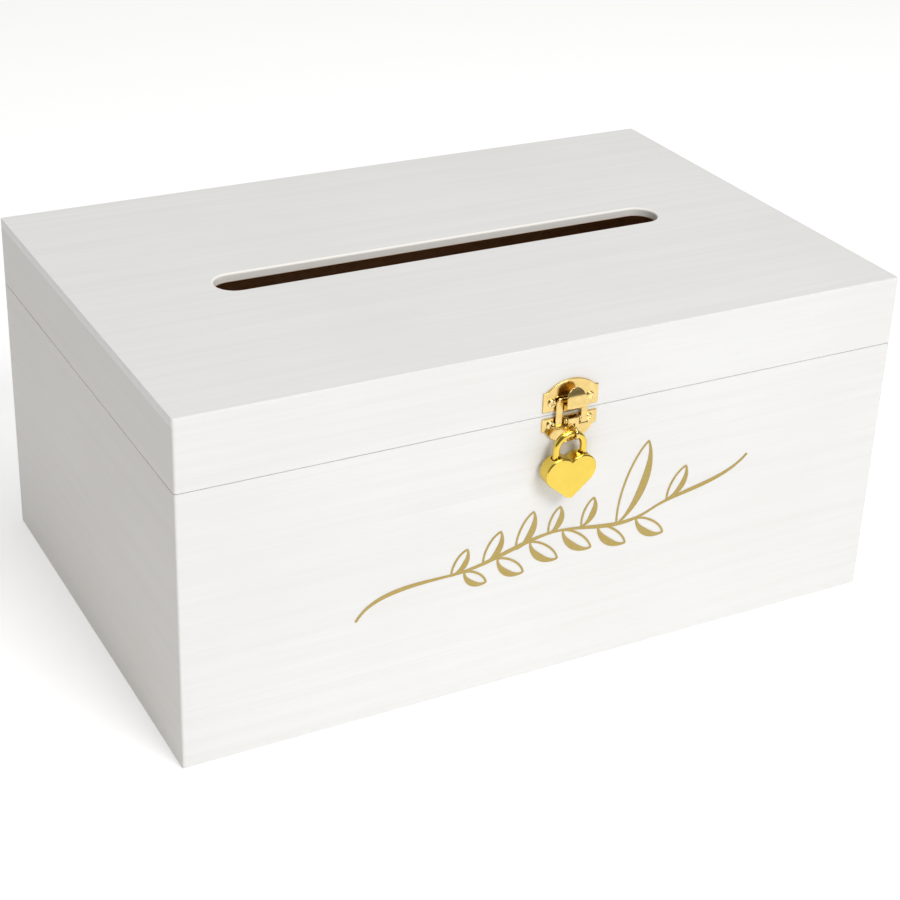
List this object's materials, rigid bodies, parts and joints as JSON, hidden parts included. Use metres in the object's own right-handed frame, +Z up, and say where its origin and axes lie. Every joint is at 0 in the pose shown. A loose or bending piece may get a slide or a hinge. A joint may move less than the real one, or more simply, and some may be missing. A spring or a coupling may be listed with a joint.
{
  "type": "wedding card box",
  "caption": "White wooden card box with a hinged slotted lid, a gold front latch and a heart padlock.",
  "frame": {"origin": "centre of the box's underside", "axes": "+X to the right along the width, -Y out of the front with the latch, +Z up"},
  "size_m": [0.34, 0.2331, 0.158],
  "materials": {
    "white_wood": "whitewashed, matt, faint grain",
    "gilt": "satin metallic gold",
    "polished_gold": "polished gold plating",
    "padlock_gold": "polished bright gold",
    "steel": "bright"
  },
  "bodies": {
    "box": {"bottom_panel": "white_wood", "base_front_wall": "white_wood", "base_back_wall": "white_wood", "base_left_wall": "white_wood", "base_right_wall": "white_wood", "front_flourish": "gilt", "latch_base_plate": "polished_gold", "latch_lever_pin": "polished_gold", "latch_lower_screws": "polished_gold", "hinge_left_box_leaf": "polished_gold", "hinge_left_pin": "polished_gold", "hinge_right_box_leaf": "polished_gold", "hinge_right_pin": "polished_gold", "hinge_box_screws": "polished_gold"},
    "lid": {"lid_top_panel": "white_wood", "lid_front_wall": "white_wood", "lid_back_wall": "white_wood", "lid_left_wall": "white_wood", "lid_right_wall": "white_wood", "latch_hook_plate": "polished_gold", "latch_upper_screws": "polished_gold", "hinge_left_lid_leaf": "polished_gold", "hinge_right_lid_leaf": "polished_gold", "hinge_lid_screws": "polished_gold"},
    "lever": {"latch_lever": "polished_gold", "latch_loop_rivets": "polished_gold"},
    "loop": {"latch_loop": "polished_gold"},
    "shackle": {"padlock_shackle": "padlock_gold"},
    "padlock": {"padlock_case": "padlock_gold", "padlock_front_plate": "padlock_gold", "padlock_rear_plate": "padlock_gold", "padlock_rear_rivets": "padlock_gold", "padlock_spring": "steel"},
    "plug": {"padlock_plug": "padlock_gold"},
    "bolt": {"padlock_bolt": "steel"}
  },
  "joints": [
    {"name": "lid_hinge", "type": "hinge", "parent": "box", "child": "lid", "pos_m": [0, 0.1123, 0.1262], "axis": [-1, 0, 0], "range_deg": [0, 180]},
    {"name": "lever_pivot", "type": "hinge", "parent": "box", "child": "lever", "pos_m": [0.002, -0.1127, 0.1236], "axis": [-1, 0, 0], "range_deg": [0, 145]},
    {"name": "loop_pivot", "type": "hinge", "parent": "lever", "child": "loop", "pos_m": [0.002, -0.1119, 0.1206], "axis": [-1, 0, 0], "range_deg": [-130, 0]},
    {"name": "padlock_swing", "type": "hinge", "parent": "box", "child": "shackle", "pos_m": [0, -0.11545, 0.11848], "axis": [-1, 0, 0], "range_deg": [-2.5, 75]},
    {"name": "padlock_drop", "type": "slide", "parent": "shackle", "child": "padlock", "axis": [0, 0, -1], "range_m": [0, 0.0065]},
    {"name": "plug_turn", "type": "hinge", "parent": "padlock", "child": "plug", "pos_m": [0, -0.11545, 0.1], "axis": [0, -1, 0], "range_deg": [0, 90]},
    {"name": "bolt_slide", "type": "slide", "parent": "padlock", "child": "bolt", "axis": [-1, 0, 0], "range_m": [0, 0.003]}
  ],
  "couplings": [
    {"joint": "loop_pivot", "follows": "lever_pivot", "ratio": -0.89},
    {"joint": "plug_turn", "follows": "padlock_drop", "rad_per_m": 241.66},
    {"joint": "bolt_slide", "follows": "padlock_drop", "ratio": 0.4615}
  ]
}
